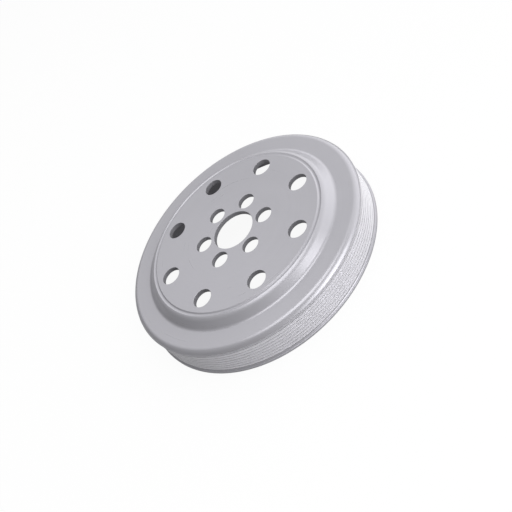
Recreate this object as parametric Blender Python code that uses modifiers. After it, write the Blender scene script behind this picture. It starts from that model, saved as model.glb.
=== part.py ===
"""Crankshaft pulley for a wide multi-ribbed belt: one turned and drilled piece of metal.

The pulley is a flat web with a shallow ring groove near its edge, a shoulder that steps back
from the web to a front flange, a belt track with V grooves, and a rear lip. The rim hangs
behind the web like the wall of a shallow pan, so the back is hollow.

Every point of the turned section is a radius and a depth. Depth runs back from the web's
front face. The finished pulley stands on its rear rim: +Z is its axis, towards the web's
front face, and the origin is on the axis in the plane of the rear rim.
"""

import math

import bmesh
import bpy

MM = 0.001

# Web: the disc that is clamped to the nose of the crankshaft, in millimetres
WEB_THICKNESS = 5.0
BORE_DIAMETER = 45.0
BOLT_COUNT = 6
BOLT_HOLE_DIAMETER = 18.0
BOLT_LAND = 3.5
WINDOW_COUNT = 8
WINDOW_DIAMETER = 20.0
WINDOW_LAND = 5.5

# Ring groove: a shallow turned recess that cuts into the start of the shoulder's rounded edge
RING_WIDTH = 3.9
RING_DEPTH = 0.9
RING_FLOOR_WIDTH = 1.1
RING_INTO_EDGE = 2.3

# Shoulder: the sloping step from the web back to the flange
SHOULDER_DROP = 8.9
SHOULDER_ANGLE = math.radians(45.0)
SHOULDER_WALL = 5.0
SHOULDER_EDGE_RADIUS = 9.5
SHOULDER_FOOT_RADIUS = 4.9
SHOULDER_INNER_RADIUS = 2.0

# Belt track: V grooves turned into a cylinder, all of one profile
TRACK_DIAMETER = 263.8
GROOVE_COUNT = 8
GROOVE_PITCH = 3.56
GROOVE_DEPTH = 3.4
GROOVE_ANGLE = math.radians(40.0)
GROOVE_ROOT_WIDTH = 0.7

# Flange in front of the track, and lip behind it
FLANGE_HEIGHT = 0.9
FLANGE_FACE_WIDTH = 24.3
FLANGE_THICKNESS = 5.0
FLANGE_EDGE_RADIUS = 6.9
FLANGE_TO_FIRST_GROOVE = 6.1
LIP_HEIGHT = 1.8
LIP_WIDTH = 1.9
LIP_FROM_LAST_GROOVE = 5.98
LIP_FOOT_RADIUS = 2.0
LIP_REAR_RADIUS = 0.3

# Rim wall behind the grooves, and the flare at its open end
RIM_WALL = 3.0
RIM_CORNER_RADIUS = 3.0
RIM_END_WALL = 4.8
FLARE_LENGTH = 7.0

# Facets
TURNING_STEPS = 60
HOLE_STEPS = 24
ARC_ERROR = 0.04
CUTTER_OVERRUN = 4.0
SHARP_EDGE_ANGLE = math.radians(30.0)

# Radii and depths that follow from the sizes above
TRACK_RADIUS = TRACK_DIAMETER / 2
ROOT_RADIUS = TRACK_RADIUS - GROOVE_DEPTH
FLANGE_RADIUS = TRACK_RADIUS + FLANGE_HEIGHT
LIP_RADIUS = TRACK_RADIUS + LIP_HEIGHT
RIM_INNER_RADIUS = ROOT_RADIUS - RIM_WALL
RIM_END_RADIUS = LIP_RADIUS - RIM_END_WALL
WALL_SLOPE = math.tan(GROOVE_ANGLE / 2)
FIRST_GROOVE_DEPTH = SHOULDER_DROP + FLANGE_TO_FIRST_GROOVE
LAST_GROOVE_DEPTH = FIRST_GROOVE_DEPTH + (GROOVE_COUNT - 1) * GROOVE_PITCH
WIDTH = LAST_GROOVE_DEPTH + LIP_FROM_LAST_GROOVE
SHOULDER_FOOT = FLANGE_RADIUS - FLANGE_FACE_WIDTH
SHOULDER_TOP = SHOULDER_FOOT - SHOULDER_DROP / math.tan(SHOULDER_ANGLE)
EDGE_START_RADIUS = SHOULDER_TOP - SHOULDER_EDGE_RADIUS * math.tan(SHOULDER_ANGLE / 2)
RING_OUTER_RADIUS = EDGE_START_RADIUS + RING_INTO_EDGE
RING_INNER_RADIUS = RING_OUTER_RADIUS - RING_WIDTH
BOLT_CIRCLE_RADIUS = BORE_DIAMETER / 2 + BOLT_LAND + BOLT_HOLE_DIAMETER / 2
WINDOW_CIRCLE_RADIUS = RING_INNER_RADIUS - WINDOW_LAND - WINDOW_DIAMETER / 2


def arc(centre, radius, start, end):
    """Points on an arc between two angles, which turn from outwards (0) towards the front."""
    widest_step = 2 * math.acos(1 - ARC_ERROR / radius)
    count = max(2, math.ceil(abs(end - start) / widest_step))
    angles = [start + (end - start) * i / count for i in range(count + 1)]
    return [
        (centre[0] + radius * math.cos(a), centre[1] - radius * math.sin(a)) for a in angles
    ]


def fillet(before, corner, after, radius):
    """The arc of that radius which is tangent to both sides of a corner, as points."""
    to_before = math.atan2(before[1] - corner[1], before[0] - corner[0])
    to_after = math.atan2(after[1] - corner[1], after[0] - corner[0])
    opening = math.remainder(to_after - to_before, math.tau)
    reach = radius / math.tan(abs(opening) / 2)
    middle = to_before + opening / 2
    distance = radius / math.sin(abs(opening) / 2)
    centre = (
        corner[0] + distance * math.cos(middle),
        corner[1] + distance * math.sin(middle),
    )
    first = (corner[0] + reach * math.cos(to_before), corner[1] + reach * math.sin(to_before))
    last = (corner[0] + reach * math.cos(to_after), corner[1] + reach * math.sin(to_after))
    start = math.atan2(centre[1] - first[1], first[0] - centre[0])
    end = math.atan2(centre[1] - last[1], last[0] - centre[0])
    return arc(centre, radius, start, start + math.remainder(end - start, math.tau))


def shoulder_radius(depth, wall=0.0):
    """Radius of the shoulder's sloping face at a depth, or of its back at that wall."""
    return SHOULDER_TOP + depth / math.tan(SHOULDER_ANGLE) - wall / math.sin(SHOULDER_ANGLE)


def web_face():
    """The web's front face from the bore to the ring groove, and the groove's inner side."""
    slope = (RING_WIDTH - RING_FLOOR_WIDTH) / 2
    return [
        (BORE_DIAMETER / 2, 0.0),
        (RING_INNER_RADIUS, 0.0),
        (RING_INNER_RADIUS + slope, RING_DEPTH),
        (RING_OUTER_RADIUS - slope, RING_DEPTH),
    ]


def shoulder_face():
    """The rounded edge from the ring groove on, its slope and the hollow at its foot."""
    centre = (EDGE_START_RADIUS, SHOULDER_EDGE_RADIUS)
    ring_side = math.acos(RING_INTO_EDGE / SHOULDER_EDGE_RADIUS)
    rounded_edge = arc(centre, SHOULDER_EDGE_RADIUS, ring_side, math.pi / 2 - SHOULDER_ANGLE)
    edge = (SHOULDER_TOP, 0.0)
    foot = (SHOULDER_FOOT, SHOULDER_DROP)
    flange = (FLANGE_RADIUS, SHOULDER_DROP)
    return rounded_edge + fillet(edge, foot, flange, SHOULDER_FOOT_RADIUS)


def flange_edge():
    """The flange's rounded edge, which ends where the first groove's front wall meets it."""
    centre = (FLANGE_RADIUS - FLANGE_EDGE_RADIUS, SHOULDER_DROP + FLANGE_EDGE_RADIUS)
    wall_foot = (ROOT_RADIUS, FIRST_GROOVE_DEPTH - GROOVE_ROOT_WIDTH / 2)
    half = GROOVE_ANGLE / 2
    offset = (centre[0] - wall_foot[0]) * math.sin(half)
    offset += (centre[1] - wall_foot[1]) * math.cos(half)
    meeting = half + math.asin(offset / FLANGE_EDGE_RADIUS)
    return arc(centre, FLANGE_EDGE_RADIUS, math.pi / 2, meeting)


def belt_track():
    """Every groove's narrow floor, with a flat crest between each groove and the next."""
    half_floor = GROOVE_ROOT_WIDTH / 2
    half_mouth = half_floor + GROOVE_DEPTH * WALL_SLOPE
    points = []
    for i in range(GROOVE_COUNT):
        middle = FIRST_GROOVE_DEPTH + i * GROOVE_PITCH
        if i > 0:
            points.append((TRACK_RADIUS, middle - GROOVE_PITCH + half_mouth))
            points.append((TRACK_RADIUS, middle - half_mouth))
        points.append((ROOT_RADIUS, middle - half_floor))
        points.append((ROOT_RADIUS, middle + half_floor))
    return points


def rear_lip():
    """The lip behind the last crest, with a hollow at its foot and a broken rear edge."""
    half_mouth = GROOVE_ROOT_WIDTH / 2 + GROOVE_DEPTH * WALL_SLOPE
    crest = (TRACK_RADIUS, LAST_GROOVE_DEPTH + half_mouth)
    front = (LIP_RADIUS, WIDTH - LIP_WIDTH)
    foot = (TRACK_RADIUS, front[1] - LIP_HEIGHT * WALL_SLOPE)
    rear = (LIP_RADIUS, WIDTH)
    inner = (RIM_END_RADIUS, WIDTH)
    return (
        [crest]
        + fillet(crest, foot, front, LIP_FOOT_RADIUS)
        + [front]
        + fillet(front, rear, inner, LIP_REAR_RADIUS)
        + [inner]
    )


def hollow_back():
    """The inside of the rim, then the back of the flange, of the shoulder and of the web."""
    flange_back = SHOULDER_DROP + FLANGE_THICKNESS
    flare = (RIM_INNER_RADIUS, WIDTH - FLARE_LENGTH)
    rim_corner = (RIM_INNER_RADIUS, flange_back)
    foot = (shoulder_radius(flange_back, SHOULDER_WALL), flange_back)
    top = (shoulder_radius(WEB_THICKNESS, SHOULDER_WALL), WEB_THICKNESS)
    bore = (BORE_DIAMETER / 2, WEB_THICKNESS)
    return (
        [flare]
        + fillet(flare, rim_corner, foot, RIM_CORNER_RADIUS)
        + fillet(rim_corner, foot, top, SHOULDER_FOOT_RADIUS)
        + fillet(foot, top, bore, SHOULDER_INNER_RADIUS)
        + [bore]
    )


def section():
    """The whole closed section, out along the front, down the track and back in behind."""
    return (
        web_face() + shoulder_face() + flange_edge() + belt_track() + rear_lip() + hollow_back()
    )


def turned_blank(name, collection):
    """The section as a ring of edges, turned about Z by a Screw modifier."""
    mesh = bpy.data.meshes.new(name)
    points = [(radius * MM, 0.0, (WIDTH - depth) * MM) for radius, depth in section()]
    edges = [(i, (i + 1) % len(points)) for i in range(len(points))]
    mesh.from_pydata(points, edges, [])
    blank = bpy.data.objects.new(name, mesh)
    collection.objects.link(blank)
    turning = blank.modifiers.new("turning", "SCREW")
    turning.axis = "Z"
    turning.angle = math.tau
    turning.steps = TURNING_STEPS
    turning.render_steps = TURNING_STEPS
    turning.use_merge_vertices = False
    return blank


def drill_pattern(name, count, circle_radius, hole_diameter, collection):
    """A ring of drills through the web, evenly spaced, the first one on +X."""
    drills = bmesh.new()
    length = WEB_THICKNESS + 2 * CUTTER_OVERRUN
    height = WIDTH - WEB_THICKNESS / 2
    for i in range(count):
        angle = math.tau * i / count
        made = bmesh.ops.create_cone(
            drills,
            cap_ends=True,
            segments=HOLE_STEPS,
            radius1=hole_diameter / 2 * MM,
            radius2=hole_diameter / 2 * MM,
            depth=length * MM,
        )
        place = (
            circle_radius * math.cos(angle) * MM,
            circle_radius * math.sin(angle) * MM,
            height * MM,
        )
        bmesh.ops.translate(drills, verts=made["verts"], vec=place)
    mesh = bpy.data.meshes.new(name)
    drills.to_mesh(mesh)
    drills.free()
    cutter = bpy.data.objects.new(name, mesh)
    cutter.hide_render = True
    cutter.display_type = "WIRE"
    collection.objects.link(cutter)
    return cutter


def drill(blank, cutter):
    """Cuts a drill pattern out of the blank with an exact Boolean."""
    cut = blank.modifiers.new(cutter.name, "BOOLEAN")
    cut.operation = "DIFFERENCE"
    cut.solver = "EXACT"
    cut.object = cutter


def finish_mesh(blank):
    """Keeps the drilled shape as the object's own mesh and shades it smooth between edges."""
    depsgraph = bpy.context.evaluated_depsgraph_get()
    drilled = bpy.data.meshes.new_from_object(blank.evaluated_get(depsgraph))
    profile = blank.data
    blank.modifiers.clear()
    drilled.name = blank.name
    blank.data = drilled
    bpy.data.meshes.remove(profile)
    drilled.shade_smooth()
    drilled.set_sharp_from_angle(angle=SHARP_EDGE_ANGLE)


def bare_metal():
    """Clean grey machined metal."""
    material = bpy.data.materials.new("bare_metal")
    material.use_nodes = True
    shader = material.node_tree.nodes["Principled BSDF"]
    shader.inputs["Base Color"].default_value = (0.45, 0.45, 0.48, 1.0)
    shader.inputs["Metallic"].default_value = 0.6
    shader.inputs["Roughness"].default_value = 0.35
    return material


def main():
    for leftover in list(bpy.data.objects):
        bpy.data.objects.remove(leftover)
    parts = bpy.data.collections.new("crankshaft_pulley_parts")
    cutters = bpy.data.collections.new("crankshaft_pulley_cutters")
    bpy.context.scene.collection.children.link(parts)
    bpy.context.scene.collection.children.link(cutters)

    pulley = turned_blank("crankshaft_pulley", parts)
    bolt_drills = drill_pattern(
        "bolt_holes", BOLT_COUNT, BOLT_CIRCLE_RADIUS, BOLT_HOLE_DIAMETER, cutters
    )
    window_drills = drill_pattern(
        "web_windows", WINDOW_COUNT, WINDOW_CIRCLE_RADIUS, WINDOW_DIAMETER, cutters
    )
    drill(pulley, bolt_drills)
    drill(pulley, window_drills)
    finish_mesh(pulley)
    pulley.data.materials.append(bare_metal())


main()
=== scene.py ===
"""Crankshaft pulley: the finished surface of one turned and drilled piece of metal.

The pulley lies on its rear rim. +Z is its axis, towards the web's front face. A point of the
turned section is a radius and a depth, and depth runs back from the web's front face.
"""

import math

import bmesh
import bpy
import numpy as np
from mathutils import Matrix, Vector


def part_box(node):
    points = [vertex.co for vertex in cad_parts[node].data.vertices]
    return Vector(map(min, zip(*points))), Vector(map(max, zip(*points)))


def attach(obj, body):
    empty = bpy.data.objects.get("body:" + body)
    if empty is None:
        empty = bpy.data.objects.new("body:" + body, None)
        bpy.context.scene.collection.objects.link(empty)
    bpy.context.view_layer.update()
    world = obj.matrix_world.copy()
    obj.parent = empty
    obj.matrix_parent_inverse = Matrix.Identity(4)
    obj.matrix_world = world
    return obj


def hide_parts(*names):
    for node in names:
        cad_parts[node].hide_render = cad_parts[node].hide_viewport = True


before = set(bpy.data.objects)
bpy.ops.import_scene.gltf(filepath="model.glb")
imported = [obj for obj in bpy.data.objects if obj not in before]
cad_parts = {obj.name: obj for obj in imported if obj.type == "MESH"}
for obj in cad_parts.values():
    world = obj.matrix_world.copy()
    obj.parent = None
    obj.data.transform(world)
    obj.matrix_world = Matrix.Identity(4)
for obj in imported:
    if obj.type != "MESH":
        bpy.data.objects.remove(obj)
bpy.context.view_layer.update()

bl_info = {
    "name": "Crankshaft Pulley",
    "version": (1, 0, 0),
    "blender": (4, 5, 0),
    "location": "View3D > Sidebar > Pulley",
    "description": "A ribbed crankshaft pulley with turned and drilled surfaces",
    "category": "Add Mesh",
}

MM = 0.001
NODE = "crankshaft_pulley"
LOWEST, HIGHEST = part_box(NODE)
LIP_RADIUS = HIGHEST.x
OVERALL_WIDTH = HIGHEST.z - LOWEST.z

# How finely the surface is divided
COLUMNS = 384
SIDE_STEPS = 20
LAND_ROWS = 3
ARC_STEP = math.radians(8)
CORNER_STEP = math.radians(36)
SMALL_ROUNDING = 1.5 * MM
MERGE_DISTANCE = 1e-6
FLAT_WEIGHT = 100

# Where the section's lines begin and end: a share of the land inside the ring groove, and a
# number of roundings past a rounded corner
LAND_SHARE = 0.25
CORNER_REACH = 2.0

# The masks that the mesh carries: small rounded edges, walls of holes, and the grooved track,
# which is 1 in a groove, where the metal is polished and its colour lightened with painted
# light, and below 0 on a crest, whose colour is darkened with painted shade
MASKS = ("edge", "drilled", "polish_and_painted_light")
CREST_PAINTED_SHADE = -0.6

# The noise behind the tool's marks and the mottling, and how far a step along the axis counts
# as a step across the marks
AXIAL_SHARE = 0.9
MARK_DETAIL = 2.0
MARK_GRAIN = 0.55
MOTTLE_SCALE = 38.0
MOTTLE_DETAIL = 4.0
MOTTLE_GRAIN = 0.6
NOISE_MIDDLE = 0.5

# A Mix node's sockets for colours
MIX_FACTOR = 0
MIX_FIRST = 6
MIX_SECOND = 7
MIX_RESULT = 2
WHITE = (1.0, 1.0, 1.0, 1.0)

# The floor's rings, and how far it lies below the rim so that the two don't touch
FLOOR_COLUMNS = 64
FLOOR_RINGS = np.array([0.1, 0.4, 1.0])
FLOOR_GAP = 0.2 * MM


def length(name, millimetres, description):
    """A size that the sidebar shows, with its default given in millimetres."""
    return bpy.props.FloatProperty(
        name=name,
        description=description,
        default=millimetres * MM,
        precision=5,
        unit="LENGTH",
        subtype="DISTANCE",
    )


def angle(name, degrees, description):
    """An angle that the sidebar shows, with its default given in degrees."""
    return bpy.props.FloatProperty(
        name=name,
        description=description,
        default=math.radians(degrees),
        unit="ROTATION",
        subtype="ANGLE",
    )


def number(name, default, description):
    """A plain number that the sidebar shows."""
    return bpy.props.FloatProperty(name=name, description=description, default=default)


def count(name, default, description):
    """How many copies a pattern has."""
    return bpy.props.IntProperty(name=name, description=description, default=default, min=1)


def colour(name, default, description):
    """A linear colour that the sidebar shows."""
    return bpy.props.FloatVectorProperty(
        name=name,
        description=description,
        default=default,
        size=3,
        min=0.0,
        max=1.0,
        subtype="COLOR",
    )


class WebSizes(bpy.types.PropertyGroup):
    """Sizes of the flat disc that is bolted to the crankshaft."""

    thickness: length("Thickness", 5.0, "Thickness of the web")
    bore: length("Bore", 45.0, "Diameter of the centre bore")
    bolt_count: count("Bolt holes", 6, "Number of bolt holes")
    bolt_hole: length("Bolt hole", 18.0, "Diameter of a bolt hole")
    bolt_land: length("Bolt land", 3.5, "Metal between the bore and a bolt hole")
    window_count: count("Windows", 8, "Number of round windows")
    window: length("Window", 20.0, "Diameter of a round window")
    window_land: length("Window land", 5.5, "Metal between a window and the ring groove")
    middle: length("Middle circle", 56.0, "Radius of the plain circle between the holes")
    ring_width: length("Ring groove", 3.9, "Width of the ring groove")
    ring_depth: length("Ring groove depth", 0.9, "Depth of the ring groove")
    ring_floor: length("Ring groove floor", 1.1, "Width of the ring groove's floor")
    ring_overlap: length("Ring into edge", 2.3, "How far the ring groove cuts into the edge")
    ring_rounding: length("Ring groove rounding", 0.2, "Radius in the ring groove's corners")
    edge_break: length("Edge break", 0.2, "Radius on the edges of the holes")


class RimSizes(bpy.types.PropertyGroup):
    """Sizes of the shoulder, the flange and the rim's wall."""

    drop: length("Shoulder drop", 8.9, "Depth of the flange's face below the web's face")
    slope: angle("Shoulder slope", 45.0, "Angle between the shoulder and the web")
    edge: length("Shoulder edge", 9.5, "Radius where the web turns into the shoulder")
    foot: length("Shoulder foot", 4.9, "Radius where the shoulder meets the flange")
    wall: length("Shoulder wall", 5.0, "Thickness of the shoulder's wall")
    inner: length("Shoulder inside", 2.0, "Radius behind the shoulder's edge")
    flange_height: length("Flange height", 0.9, "Height of the flange above the belt track")
    flange_face: length("Flange face", 24.3, "Width of the flange's face")
    flange_thickness: length("Flange thickness", 5.0, "Thickness of the flange")
    flange_edge: length("Flange edge", 6.9, "Radius on the flange's outer edge")
    rim_wall: length("Rim wall", 3.0, "Metal under the grooves")
    rim_corner: length("Rim corner", 3.0, "Radius between the rim and the flange's back")
    end_wall: length("Rim end", 4.8, "Thickness of the rim at its open end")
    flare: length("Flare", 7.0, "Length of the flare at the open end")
    flare_rounding: length("Flare rounding", 6.0, "Radius where the flare begins")
    end_rounding: length("End rounding", 0.4, "Radius on the inner edge of the open end")


class TrackSizes(bpy.types.PropertyGroup):
    """Sizes of the belt track and of the lip behind it."""

    groove_count: count("Grooves", 8, "Number of V grooves")
    pitch: length("Pitch", 3.56, "Distance from one groove to the next")
    groove_depth: length("Groove depth", 3.4, "Depth of a groove below its crests")
    groove_angle: angle("Groove angle", 40.0, "Angle between the walls of a groove")
    root_width: length("Root width", 0.7, "Width of a groove's floor")
    root_rounding: length("Root rounding", 0.3, "Radius in a groove's floor")
    crest_rounding: length("Crest rounding", 0.15, "Radius on a crest's edges")
    lip_height: length("Lip height", 1.8, "Height of the rear lip above the crests")
    lip_distance: length("Lip distance", 5.98, "From the last groove to the rear rim")
    lip_width: length("Lip width", 1.9, "Width of the rear lip")
    lip_foot: length("Lip foot", 2.0, "Radius between the last crest and the lip")
    lip_break: length("Lip edges", 0.3, "Radius on the lip's two outer edges")


class MetalFinish(bpy.types.PropertyGroup):
    """Colour and fine texture of the bare metal."""

    tone: colour("Colour", (0.462, 0.456, 0.491), "Colour of the clean metal")
    # Painted light: the groove walls take this much lighter colour, partly for the polish and
    # partly as painted light that lifts the shade inside the grooves
    groove_polish_and_painted_light_tone: colour("Grooves", (0.88, 0.873, 0.905), "Colour where the belt polishes it")
    # Painted shade: the walls of the holes are made darker than the rest
    hole_wall_painted_shade: number("Hole walls", 0.75, "Brightness of the drilled walls beside the rest")
    metallic: number("Metallic", 0.5, "How metallic the surface is")
    roughness: number("Roughness", 0.32, "Roughness of the turned faces")
    mark_spacing: length("Turning marks", 0.28, "Distance between fine turning marks")
    mark_height: length("Mark height", 0.0015, "Height of the fine turning marks")
    mark_drift: number("Mark drift", 2.0, "How much the fine marks change round the axis")
    mark_roughness: number("Mark roughness", 0.10, "How much the fine marks change the gloss")
    band_spacing: length("Bands", 2.6, "Width of the broad bands that a tool leaves")
    band_drift: number("Band drift", 0.7, "How much the bands change round the axis")
    band_roughness: number("Band roughness", 0.14, "How much the bands change the gloss")
    band_shade: number("Band shade", 0.05, "How much the bands change the colour")
    mottle_roughness: number("Mottle roughness", 0.10, "How much handling changes the gloss")
    mottle_shade: number("Mottle shade", 0.05, "How much handling changes the colour")
    edge_gloss: number("Edge gloss", 0.05, "How much glossier the small edges are")
    edge_shade: number("Edge shade", 0.04, "How much brighter the small edges are")
    groove_roughness: number("Groove roughness", 0.06, "How much duller the grooves' gloss is")


class StudioSetup(bpy.types.PropertyGroup):
    """Camera, floor and lights."""

    aim_x: length("Aim X", -30.47, "Where the view meets the web's plane, along X")
    aim_y: length("Aim Y", -43.57, "Where the view meets the web's plane, along Y")
    distance: length("Distance", 694.1, "From the camera to the point that it aims at")
    azimuth: angle("Azimuth", -123.09, "Direction of the camera from the aim, about Z")
    elevation: angle("Elevation", 40.31, "Height of the camera as an angle above the web")
    roll: angle("Roll", 43.92, "How far the camera leans to its right")
    lens: number("Lens", 52.38, "Focal length in millimetres on a 36 mm sensor")
    floor_radius: length("Floor", 6000.0, "Radius of the round floor")
    floor_tone: number("Floor tone", 0.9, "Grey of the floor as it is seen")
    floor_bounce: number("Floor bounce", 0.4, "Grey of the floor as it lights the pulley")
    floor_white: number("Floor white", 0.93, "How far the floor is plain white to the eye")
    floor_mirrored: number("Floor mirrored", 0.15, "How far it is plain white in reflections")
    round_light: number("Light from all round", 0.2, "Brightness of the room's light")
    side_light: number("Light from the side", 1.6, "Extra brightness towards +X")
    front_light: number("Light from the front", 0.9, "Extra brightness towards -Y")
    sky_light: number("Light from above", 0.28, "Extra brightness towards +Z")
    lamp_distance: length("Lamp distance", 1200.0, "From the pulley's middle to each lamp")
    lamp_width: length("Lamp width", 900.0, "Diameter of each round lamp")
    lamp_level: number("Lamp level", 1.0, "Brightness of all the lamps together")


# Each lamp's azimuth and elevation in degrees, and its brightness
LAMPS = {
    "overhead": (0.0, 90.0, 2.05),
    "front": (270.0, 24.0, 2.2),
    "low_front": (252.0, 6.0, 1.6),
    "behind": (80.0, 45.0, 0.42),
}

GROUPS = {
    "pulley_web": WebSizes,
    "pulley_rim": RimSizes,
    "pulley_track": TrackSizes,
    "pulley_metal": MetalFinish,
    "pulley_studio": StudioSetup,
}


def arc(centre, radius, start, end):
    """Points centre + radius (cos a, -sin a), with a running evenly from start to end."""
    steps = math.ceil(abs(end - start) / ARC_STEP)
    a = np.linspace(start, end, steps + 1)
    return np.stack([centre[0] + radius * np.cos(a), centre[1] - radius * np.sin(a)], axis=1)


def plain(points):
    """Corners that stay as they are: the points with a rounding of nothing."""
    points = np.asarray(points, float).reshape(-1, 2)
    return np.column_stack([points, np.zeros(len(points))])


def rounded(corners):
    """A line through corners (radius, depth, rounding) with an arc at each rounded corner.

    An arc touches both sides of its corner at rounding * tan(turn / 2) from it. Its centre lies
    one rounding off the side that arrives, and its spoke turns evenly through the corner's turn.
    The third value returned with a point is 1 inside a small arc and 0 elsewhere.
    """
    points, rounding = corners[:, :2], corners[:, 2]
    sides = np.diff(points, axis=0)
    sides /= np.linalg.norm(sides, axis=1)[:, None]
    arriving = np.vstack([sides[:1], sides])
    leaving = np.vstack([sides, sides[-1:]])
    cross = arriving[:, 0] * leaving[:, 1] - arriving[:, 1] * leaving[:, 0]
    turn = np.arctan2(cross, np.sum(arriving * leaving, axis=1))
    left = np.stack([-arriving[:, 1], arriving[:, 0]], axis=1) * np.sign(turn)[:, None]
    touch = points - arriving * (rounding * np.tan(np.abs(turn) / 2))[:, None]
    centre = touch + left * rounding[:, None]

    small = rounding < SMALL_ROUNDING
    step = np.where(small, CORNER_STEP, ARC_STEP)
    steps = np.where(rounding > 0, np.ceil(np.abs(turn) / step), 0).astype(int)
    owner = np.repeat(np.arange(len(points)), steps + 1)
    first = np.repeat(np.cumsum(steps + 1) - (steps + 1), steps + 1)
    share = (np.arange(len(owner)) - first) / np.maximum(steps[owner], 1)
    swept = turn[owner] * share
    spoke = -left[owner]
    turned = np.cos(swept)[:, None] * spoke
    turned += np.sin(swept)[:, None] * np.stack([-spoke[:, 1], spoke[:, 0]], axis=1)
    line = centre[owner] + turned * rounding[owner][:, None]
    on_edge = (share > 0) & (share < 1) & small[owner]
    return np.column_stack([line, on_edge])


def web_radii(web, rim, track):
    """Radii of the flange, the shoulder's foot, top and edge, and the ring groove's two sides.

    They are worked out inwards. The top is the foot less drop / tan(slope), and the edge, where
    the rounding begins, is the top less rounding * tan(slope / 2).
    """
    flange = LIP_RADIUS - track.lip_height + rim.flange_height
    foot = flange - rim.flange_face
    top = foot - rim.drop / math.tan(rim.slope)
    edge = top - rim.edge * math.tan(rim.slope / 2)
    ring_outer = edge + web.ring_overlap
    return flange, foot, top, edge, ring_outer, ring_outer - web.ring_width


def ring_and_shoulder(web, rim, track):
    """Corners from the web's face through the ring groove and down the shoulder to the flange.

    The ring groove's outer side meets the shoulder's arc at the angle acos(overlap / rounding).
    """
    flange, foot, top, edge, ring_outer, ring_inner = web_radii(web, rim, track)
    side = (web.ring_width - web.ring_floor) / 2
    corner = web.ring_rounding
    ring = [
        (ring_inner - web.window_land * LAND_SHARE, 0.0, 0.0),
        (ring_inner, 0.0, corner),
        (ring_inner + side, web.ring_depth, corner),
        (ring_outer - side, web.ring_depth, corner),
    ]
    ring_side = math.acos(web.ring_overlap / rim.edge)
    shoulder = plain(arc((edge, rim.edge), rim.edge, ring_side, math.pi / 2 - rim.slope))
    shoulder[0, 2] = corner
    return np.vstack([np.array(ring), shoulder, [(foot, rim.drop, rim.foot)]])


def flange_and_grooves(web, rim, track):
    """Corners over the flange's rounded edge and along every groove to the lip.

    The flange's arc ends on the first groove's wall, at half the groove's angle plus
    asin(offset / rounding), where the offset is from the wall's line to the arc's centre.
    """
    flange = web_radii(web, rim, track)[0]
    crest = LIP_RADIUS - track.lip_height
    root = crest - track.groove_depth
    half_root = track.root_width / 2
    half_wall = track.groove_angle / 2
    last = OVERALL_WIDTH - track.lip_distance
    middles = last - track.pitch * np.arange(track.groove_count - 1, -1, -1)

    centre = (flange - rim.flange_edge, rim.drop + rim.flange_edge)
    wall_foot = (root, middles[0] - half_root)
    offset = (centre[0] - wall_foot[0]) * math.sin(half_wall)
    offset += (centre[1] - wall_foot[1]) * math.cos(half_wall)
    meeting = half_wall + math.asin(offset / rim.flange_edge)
    edge = plain(arc(centre, rim.flange_edge, math.pi / 2, meeting))
    edge[-1, 2] = track.crest_rounding

    half_mouth = half_root + track.groove_depth * math.tan(half_wall)
    radii = np.array([crest, root, root, crest])
    offsets = np.array([-half_mouth, -half_root, half_root, half_mouth])
    roundings = np.array(
        [track.crest_rounding, track.root_rounding, track.root_rounding, track.crest_rounding]
    )
    grooves = np.stack(
        [
            np.tile(radii, track.groove_count),
            (middles[:, None] + offsets).ravel(),
            np.tile(roundings, track.groove_count),
        ],
        axis=1,
    )[1:-1]
    lip_front = OVERALL_WIDTH - track.lip_width
    lip = [
        (crest, last + half_mouth, track.crest_rounding),
        (crest, lip_front - track.lip_height * math.tan(half_wall), track.lip_foot),
        (LIP_RADIUS, lip_front, track.lip_break),
        (LIP_RADIUS, OVERALL_WIDTH, track.lip_break),
    ]
    return np.vstack([edge, grooves, lip])


def hollow_back(web, rim, track):
    """Corners along the inside of the rim and the backs of the flange, shoulder and web.

    The shoulder's back is its front moved inwards along the radius by wall / sin(slope).
    """
    crest = LIP_RADIUS - track.lip_height
    inner = crest - track.groove_depth - rim.rim_wall
    flange_back = rim.drop + rim.flange_thickness
    top = web_radii(web, rim, track)[2] - rim.wall / math.sin(rim.slope)
    slant = 1 / math.tan(rim.slope)
    return np.array(
        [
            (LIP_RADIUS - rim.end_wall, OVERALL_WIDTH, rim.end_rounding),
            (inner, OVERALL_WIDTH - rim.flare, rim.flare_rounding),
            (inner, flange_back, rim.rim_corner),
            (top + flange_back * slant, flange_back, rim.foot),
            (top + web.thickness * slant, web.thickness, rim.inner),
            (top + web.thickness * slant - CORNER_REACH * rim.inner, web.thickness, 0.0),
        ]
    )


def turned_grid(outline, drilled, polish_and_painted_light):
    """Revolves an outline: x = radius cos t, y = radius sin t, z = width - depth.

    Each row carries its edge mask from the outline, and the two masks that come with it.
    """
    t = np.arange(COLUMNS) * (math.tau / COLUMNS)
    radius, depth = outline[:, 0, None], outline[:, 1, None]
    points = np.stack(
        [radius * np.cos(t), radius * np.sin(t), OVERALL_WIDTH - depth + 0 * t], axis=-1
    )
    masks = [np.outer(mask, np.ones(COLUMNS)) for mask in (outline[:, 2], drilled, polish_and_painted_light)]
    return points, *masks


def track_polish_and_painted_light(outline, track):
    """Polish and painted light on an outline's points: 1 in a groove, which is polished and
    lightened with painted light, and CREST_PAINTED_SHADE on a crest, darkened with painted shade.
    """
    crest = LIP_RADIUS - track.lip_height
    radius, depth = outline[:, 0], outline[:, 1]
    last = OVERALL_WIDTH - track.lip_distance
    first = last - (track.groove_count - 1) * track.pitch - track.root_width / 2
    deepest = crest - track.groove_depth - MERGE_DISTANCE
    on_track = (depth > first - MERGE_DISTANCE) & (depth < last + track.pitch / 2)
    on_track &= (radius > deepest) & (radius < crest + MERGE_DISTANCE)
    in_groove = radius < crest - track.crest_rounding / 2
    return on_track * np.where(in_groove, 1.0, CREST_PAINTED_SHADE)


def inside_web(depth, web):
    """1 at depths between the web's two faces, which only the wall of a hole has."""
    return ((depth > 0) & (depth < web.thickness)).astype(float)


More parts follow.
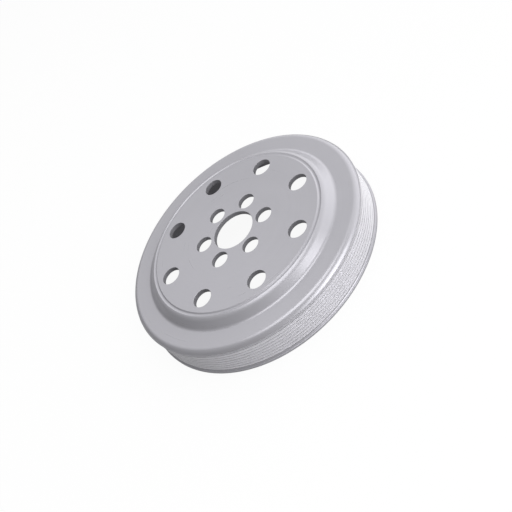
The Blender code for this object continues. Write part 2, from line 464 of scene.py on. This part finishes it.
def hole_outline(hole_radius, web):
    """The line of a drilled hole as (radius, depth, edge), with both of its edges broken.

    It starts and ends on the web's faces, a few roundings outside the hole.
    """
    reach = hole_radius + CORNER_REACH * web.edge_break
    return rounded(
        np.array(
            [
                (reach, 0.0, 0.0),
                (hole_radius, 0.0, web.edge_break),
                (hole_radius, web.thickness, web.edge_break),
                (reach, web.thickness, 0.0),
            ]
        )
    )


def cell_border(half_angle, inner, outer):
    """The closed border of a ring's sector, centred on +X, anticlockwise from its outer arc.

    A point is radius (cos a, sin a): a runs along the two arcs, and the radius along the sides.
    """
    arc_steps = round(COLUMNS * half_angle / math.pi)
    along = np.linspace(-half_angle, half_angle, arc_steps + 1)
    across = np.linspace(outer, inner, SIDE_STEPS + 1)[1:-1]
    radius = np.concatenate(
        [np.full(len(along), outer), across, np.full(len(along), inner), across[::-1]]
    )
    direction = np.concatenate(
        [along, np.full(len(across), half_angle), along[::-1], np.full(len(across), -half_angle)]
    )
    return np.stack([radius * np.cos(direction), radius * np.sin(direction)], axis=1)


def drilled_grid(web, position, hole_radius, half_angle, inner, outer_front, outer_back):
    """One sector of the web with its hole, front and back, as rows that run through the hole.

    A row on a face is (1 - s) border + s rim, where the rim is the hole's edge circle in the
    border point's own direction. A row in the hole is that direction times the hole's radius.
    """
    front = cell_border(half_angle, inner, outer_front)
    back = cell_border(half_angle, inner, outer_back)
    spoke = front - (position, 0.0)
    spoke /= np.linalg.norm(spoke, axis=1)[:, None]
    line = hole_outline(hole_radius, web)
    wall = np.array([position, 0.0]) + spoke * line[:, 0, None, None]
    share = np.linspace(0, 1, LAND_ROWS + 1)[:-1, None, None]
    front_rows = (1 - share) * front + share * wall[0]
    back_rows = ((1 - share) * back + share * wall[-1])[::-1]
    flat = np.concatenate([front_rows, wall, back_rows])
    depth = np.concatenate(
        [np.zeros(LAND_ROWS), line[:, 1], np.full(LAND_ROWS, web.thickness)]
    )
    edge = np.concatenate([np.zeros(LAND_ROWS), line[:, 2], np.zeros(LAND_ROWS)])
    polish_and_painted_light = np.zeros(len(depth))
    height = np.broadcast_to((OVERALL_WIDTH - depth)[:, None, None], flat.shape[:2] + (1,))
    points = np.concatenate([flat, height], axis=2)
    wide = np.ones(flat.shape[1])
    masks = [np.outer(mask, wide) for mask in (edge, inside_web(depth, web), polish_and_painted_light)]
    return points, *masks


def around(grid, number_of_copies):
    """Copies of a grid turned about Z: (x cos a - y sin a, x sin a + y cos a, z)."""
    points, *masks = grid
    copies = []
    for a in np.arange(number_of_copies) * (math.tau / number_of_copies):
        x = points[..., 0] * math.cos(a) - points[..., 1] * math.sin(a)
        y = points[..., 0] * math.sin(a) + points[..., 1] * math.cos(a)
        copies.append((np.stack([x, y, points[..., 2]], axis=-1), *masks))
    return copies


def grid_faces(rows, columns, start):
    """Corner numbers of the squares of a grid whose columns close into a ring."""
    row = np.arange(rows - 1)[:, None] * columns
    column = np.arange(columns)[None, :]
    following = (column + 1) % columns
    quads = np.stack(
        [row + column, row + following, row + columns + following, row + columns + column],
        axis=-1,
    )
    return quads.reshape(-1, 4) + start


def mesh_from_grids(name, grids):
    """One closed mesh from grids that share their borders, with its masks as attributes."""
    points = np.concatenate([grid[0].reshape(-1, 3) for grid in grids])
    sizes = [grid[1].size for grid in grids]
    starts = np.cumsum([0] + sizes[:-1])
    quads = np.concatenate(
        [grid_faces(*grid[1].shape, start) for grid, start in zip(grids, starts)]
    )
    mesh = bpy.data.meshes.new(name)
    mesh.vertices.add(len(points))
    mesh.vertices.foreach_set("co", points.astype(np.float32).ravel())
    mesh.loops.add(quads.size)
    mesh.loops.foreach_set("vertex_index", quads.astype(np.int32).ravel())
    mesh.polygons.add(len(quads))
    mesh.polygons.foreach_set("loop_start", np.arange(0, quads.size, 4, dtype=np.int32))
    for part, label in enumerate(MASKS, start=1):
        values = np.concatenate([grid[part].ravel() for grid in grids])
        attribute = mesh.attributes.new(label, "FLOAT", "POINT")
        attribute.data.foreach_set("value", values.astype(np.float32))
    mesh.update(calc_edges=True)
    joined = bmesh.new()
    joined.from_mesh(mesh)
    bmesh.ops.remove_doubles(joined, verts=joined.verts, dist=MERGE_DISTANCE)
    loose = [edge for edge in joined.edges if len(edge.link_faces) != 2]
    if loose:
        raise RuntimeError(f"{name} isn't closed: {len(loose)} of its edges have no partner")
    joined.to_mesh(mesh)
    joined.free()
    mesh.shade_smooth()
    return mesh


def pulley_mesh(scene):
    """The whole pulley: the turned outside, the bore, and a sector of web round each hole."""
    web, rim, track = scene.pulley_web, scene.pulley_rim, scene.pulley_track
    corners = np.vstack(
        [
            ring_and_shoulder(web, rim, track),
            flange_and_grooves(web, rim, track),
            hollow_back(web, rim, track),
        ]
    )
    outside = rounded(corners)[::-1]
    bore = hole_outline(web.bore / 2, web)
    back_land, front_land = outside[0, 0], outside[-1, 0]
    ring_inner = web_radii(web, rim, track)[-1]
    bolt_circle = web.bore / 2 + web.bolt_land + web.bolt_hole / 2
    window_circle = ring_inner - web.window_land - web.window / 2
    bolt_sector = drilled_grid(
        web,
        bolt_circle,
        web.bolt_hole / 2,
        math.pi / web.bolt_count,
        bore[0, 0],
        web.middle,
        web.middle,
    )
    window_sector = drilled_grid(
        web,
        window_circle,
        web.window / 2,
        math.pi / web.window_count,
        web.middle,
        front_land,
        back_land,
    )
    grids = [
        turned_grid(outside, np.zeros(len(outside)), track_polish_and_painted_light(outside, track)),
        turned_grid(bore, inside_web(bore[:, 1], web), np.zeros(len(bore))),
    ]
    grids += around(bolt_sector, web.bolt_count) + around(window_sector, web.window_count)
    return mesh_from_grids("pulley_body", grids)


class Signal:
    """A node's output that takes part in arithmetic: each operation adds one Math node."""

    def __init__(self, board, socket):
        self.board = board
        self.socket = socket

    def combine(self, operation, *values):
        """The result of a Math node's operation on the values."""
        return self.board.node("ShaderNodeMath", {"operation": operation}, dict(enumerate(values)))

    def __add__(self, other):
        return self.combine("ADD", self, other)

    def __radd__(self, other):
        return self.combine("ADD", other, self)

    def __sub__(self, other):
        return self.combine("SUBTRACT", self, other)

    def __rsub__(self, other):
        return self.combine("SUBTRACT", other, self)

    def __mul__(self, other):
        return self.combine("MULTIPLY", self, other)

    def __rmul__(self, other):
        return self.combine("MULTIPLY", other, self)

    def __truediv__(self, other):
        return self.combine("DIVIDE", self, other)

    def __rtruediv__(self, other):
        return self.combine("DIVIDE", other, self)

    def __pow__(self, other):
        return self.combine("POWER", self, other)

    def __rpow__(self, other):
        return self.combine("POWER", other, self)

    def at_least(self, lowest):
        """The signal where it is above the lowest value, and the lowest value elsewhere."""
        return self.combine("MAXIMUM", self, lowest)

    def at_most(self, highest):
        """The signal where it is below the highest value, and the highest value elsewhere."""
        return self.combine("MINIMUM", self, highest)


class Board:
    """Adds nodes to one node tree."""

    def __init__(self, tree):
        self.tree = tree
        self.tree.nodes.clear()

    def node(self, kind, settings=None, values=None, output=0):
        """A node of that type: its settings first, then a value or a link for each socket."""
        made = self.tree.nodes.new(kind)
        for name, value in (settings or {}).items():
            setattr(made, name, value)
        for name, value in (values or {}).items():
            if isinstance(value, Signal):
                self.tree.links.new(value.socket, made.inputs[name])
            else:
                made.inputs[name].default_value = value
        if made.outputs:
            return Signal(self, made.outputs[output])
        return made

    def axes(self, vector):
        """The X, Y and Z of a vector as three signals."""
        split = self.node("ShaderNodeSeparateXYZ", values={0: vector})
        return [Signal(self, socket) for socket in split.socket.node.outputs]

    def mask(self, label):
        """One of the mesh's masks."""
        return self.node("ShaderNodeAttribute", {"attribute_name": label}, output="Fac")

    def light_path(self, kind):
        """1 for light rays of that kind, such as Is Camera Ray, and 0 for the others."""
        return self.node("ShaderNodeLightPath", output=kind)


def bare_metal(finish):
    """Clean turned metal: rings of fine marks about the axis, crests darkened with painted shade,
    grooves polished and lightened with painted light, and hole walls darkened with painted shade.
    """
    material = bpy.data.materials.new("bare_turned_metal")
    material.use_nodes = True
    board = Board(material.node_tree)
    place = board.node("ShaderNodeTexCoord", output="Object")
    x, y, z = board.axes(place)
    edge, drilled, polish_and_painted_light = (board.mask(label) for label in MASKS)

    radius = (x * x + y * y) ** 0.5
    across = radius * (1 - drilled) - z * AXIAL_SHARE
    round_x = x / radius
    round_y = y / radius

    def rings(spacing, drift):
        """Noise that changes every spacing across the marks and slowly round the axis."""
        where = board.node(
            "ShaderNodeCombineXYZ",
            values={0: across * (1 / spacing), 1: round_x * drift, 2: round_y * drift},
        )
        return board.node(
            "ShaderNodeTexNoise",
            values={"Vector": where, "Scale": 1.0, "Detail": MARK_DETAIL, "Roughness": MARK_GRAIN},
        )

    marks = rings(finish.mark_spacing, finish.mark_drift)
    bands = rings(finish.band_spacing, finish.band_drift) - NOISE_MIDDLE
    mottle = board.node(
        "ShaderNodeTexNoise",
        values={
            "Vector": place,
            "Scale": MOTTLE_SCALE,
            "Detail": MOTTLE_DETAIL,
            "Roughness": MOTTLE_GRAIN,
        },
    )
    mottle = mottle - NOISE_MIDDLE
    unpolished = 1 - polish_and_painted_light
    rough = finish.roughness + bands * finish.band_roughness + mottle * finish.mottle_roughness
    rough = rough + (marks - NOISE_MIDDLE) * unpolished * finish.mark_roughness
    rough = rough - edge * finish.edge_gloss + polish_and_painted_light * finish.groove_roughness

    shade = 1 + bands * finish.band_shade + mottle * finish.mottle_shade
    shade = shade + edge * finish.edge_shade
    # Painted shade: the walls of the holes keep only this share of their brightness
    shade = shade * (1 - drilled * (1 - finish.hole_wall_painted_shade))
    # Painted shade: the crests of the grooved track are darkened to a share of their colour
    shade = shade * (1 + polish_and_painted_light.at_most(0.0))
    # Painted light: the groove walls mix towards a much lighter colour, partly polish and partly
    # painted light
    base = board.node(
        "ShaderNodeMix",
        {"data_type": "RGBA"},
        {MIX_FACTOR: polish_and_painted_light, MIX_FIRST: (*finish.tone, 1.0), MIX_SECOND: (*finish.groove_polish_and_painted_light_tone, 1.0)},
        output=MIX_RESULT,
    )
    tint = board.node(
        "ShaderNodeVectorMath", {"operation": "SCALE"}, {0: base, "Scale": shade}
    )
    bump = board.node(
        "ShaderNodeBump",
        values={"Strength": 1.0, "Distance": finish.mark_height, "Height": marks * unpolished},
    )
    shader = board.node(
        "ShaderNodeBsdfPrincipled",
        values={
            "Base Color": tint,
            "Metallic": finish.metallic,
            "Roughness": rough,
            "Normal": bump,
        },
    )
    board.node("ShaderNodeOutputMaterial", values={"Surface": shader})
    return material


def pale_floor(studio):
    """A pale matt floor that is white to the eye and in reflections, and keeps a soft shadow."""
    material = bpy.data.materials.new("pale_floor")
    material.use_nodes = True
    board = Board(material.node_tree)
    seen = board.light_path("Is Camera Ray")
    mirrored = board.light_path("Is Glossy Ray") + board.light_path("Is Transmission Ray")
    tone = studio.floor_bounce + seen * (studio.floor_tone - studio.floor_bounce)
    white = board.node("ShaderNodeEmission", values={"Color": WHITE, "Strength": 1.0})
    matt = board.node("ShaderNodeBsdfDiffuse", values={"Color": tone})
    share = seen * studio.floor_white + mirrored * studio.floor_mirrored
    surface = board.node("ShaderNodeMixShader", values={0: share, 1: matt, 2: white})
    board.node("ShaderNodeOutputMaterial", values={"Surface": surface})
    return material


def flat_disc(name, radius, height):
    """A flat round sheet facing up: rings of squares at growing radii, closed at the centre."""
    t = np.arange(FLOOR_COLUMNS) * (math.tau / FLOOR_COLUMNS)
    rings = radius * FLOOR_RINGS[:, None]
    points = np.stack([rings * np.cos(t), rings * np.sin(t), height + 0 * rings * t], axis=-1)
    quads = grid_faces(len(FLOOR_RINGS), FLOOR_COLUMNS, 0)[:, ::-1]
    mesh = bpy.data.meshes.new(name)
    faces = [tuple(range(FLOOR_COLUMNS))] + quads.tolist()
    mesh.from_pydata(points.reshape(-1, 3).tolist(), [], faces)
    return mesh


class PULLEY_OT_body(bpy.types.Operator):
    """Makes the pulley's finished surface in place of the plain solid"""

    bl_idname = "pulley.body"
    bl_label = "Pulley body"

    def execute(self, context):
        mesh = pulley_mesh(context.scene)
        mesh.materials.append(bare_metal(context.scene.pulley_metal))
        body = bpy.data.objects.new("pulley_body", mesh)
        context.scene.collection.objects.link(body)
        smooth = body.modifiers.new("even_shading", "WEIGHTED_NORMAL")
        smooth.mode = "FACE_AREA"
        smooth.weight = FLAT_WEIGHT
        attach(body, "root")
        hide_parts(NODE)
        return {"FINISHED"}


def add_camera(studio):
    """A camera on the ray from its aim on the web's plane, leaning by the roll angle."""
    data = bpy.data.cameras.new("camera")
    data.lens = studio.lens
    camera = bpy.data.objects.new("camera", data)
    bpy.context.scene.collection.objects.link(camera)
    aim = np.array([studio.aim_x, studio.aim_y, OVERALL_WIDTH])
    level = math.cos(studio.elevation)
    back = np.array(
        [
            level * math.cos(studio.azimuth),
            level * math.sin(studio.azimuth),
            math.sin(studio.elevation),
        ]
    )
    camera.location = aim + back * studio.distance
    camera.rotation_mode = "XYZ"
    camera.rotation_euler = (math.pi / 2 - studio.elevation, 0.0, studio.azimuth + math.pi / 2)
    lean = camera.rotation_euler.to_matrix() @ Matrix.Rotation(-studio.roll, 3, "Z")
    camera.rotation_euler = lean.to_euler()
    bpy.context.scene.camera = camera


def soft_room(studio):
    """Light from all round, plain white to the eye.

    Towards (x, y, z) it is a level plus a share of max(x, 0)^2, of min(y, 0)^2 and of z^2.
    """
    world = bpy.data.worlds.new("soft_room")
    world.use_nodes = True
    board = Board(world.node_tree)
    x, y, z = board.axes(board.node("ShaderNodeTexCoord", output="Generated"))
    side = x.at_least(0.0)
    front = y.at_most(0.0)
    level = studio.round_light + side * side * studio.side_light
    level = level + front * front * studio.front_light + z * z * studio.sky_light
    seen = board.light_path("Is Camera Ray")
    level = level * (1 - seen) + seen
    light = board.node("ShaderNodeBackground", values={"Color": WHITE, "Strength": level})
    board.node("ShaderNodeOutputWorld", values={"Surface": light})
    return world


def add_lamp(name, azimuth, elevation, brightness, studio):
    """A round soft lamp that faces the pulley; its power is brightness * pi * its area."""
    data = bpy.data.lights.new(name, "AREA")
    data.shape = "DISK"
    data.size = studio.lamp_width
    area = math.pi * (studio.lamp_width / 2) ** 2
    data.energy = brightness * studio.lamp_level * math.pi * area
    lamp = bpy.data.objects.new(name, data)
    bpy.context.scene.collection.objects.link(lamp)
    turn, rise = math.radians(azimuth), math.radians(elevation)
    away = Vector(
        (math.cos(rise) * math.cos(turn), math.cos(rise) * math.sin(turn), math.sin(rise))
    )
    lamp.location = away * studio.lamp_distance + Vector((0, 0, OVERALL_WIDTH / 2))
    lamp.rotation_euler = away.to_track_quat("Z", "Y").to_euler()


class PULLEY_OT_stage(bpy.types.Operator):
    """Makes the floor, the lights and the camera"""

    bl_idname = "pulley.stage"
    bl_label = "Studio"

    def execute(self, context):
        studio = context.scene.pulley_studio
        mesh = flat_disc("floor", studio.floor_radius, LOWEST.z - FLOOR_GAP)
        mesh.materials.append(pale_floor(studio))
        floor = bpy.data.objects.new("floor", mesh)
        context.scene.collection.objects.link(floor)
        add_camera(studio)
        for name, (azimuth, elevation, brightness) in LAMPS.items():
            add_lamp(name, azimuth, elevation, brightness, studio)
        context.scene.world = soft_room(studio)
        context.scene.view_settings.view_transform = "Standard"
        return {"FINISHED"}


class PULLEY_PT_panel(bpy.types.Panel):
    """The pulley's pieces and sizes in the sidebar"""

    bl_idname = "PULLEY_PT_panel"
    bl_label = "Crankshaft Pulley"
    bl_space_type = "VIEW_3D"
    bl_region_type = "UI"
    bl_category = "Pulley"

    def draw(self, context):
        for operator in (PULLEY_OT_body, PULLEY_OT_stage):
            self.layout.operator(operator.bl_idname)
        for name, group in GROUPS.items():
            box = self.layout.box()
            for field in group.__annotations__:
                box.prop(getattr(context.scene, name), field)


CLASSES = (*GROUPS.values(), PULLEY_OT_body, PULLEY_OT_stage, PULLEY_PT_panel)


def register():
    for item in CLASSES:
        bpy.utils.register_class(item)
    for name, group in GROUPS.items():
        setattr(bpy.types.Scene, name, bpy.props.PointerProperty(type=group))


def unregister():
    for name in GROUPS:
        delattr(bpy.types.Scene, name)
    for item in reversed(CLASSES):
        bpy.utils.unregister_class(item)


def main():
    register()
    bpy.ops.pulley.body()
    bpy.ops.pulley.stage()


if __name__ == "__main__":
    main()
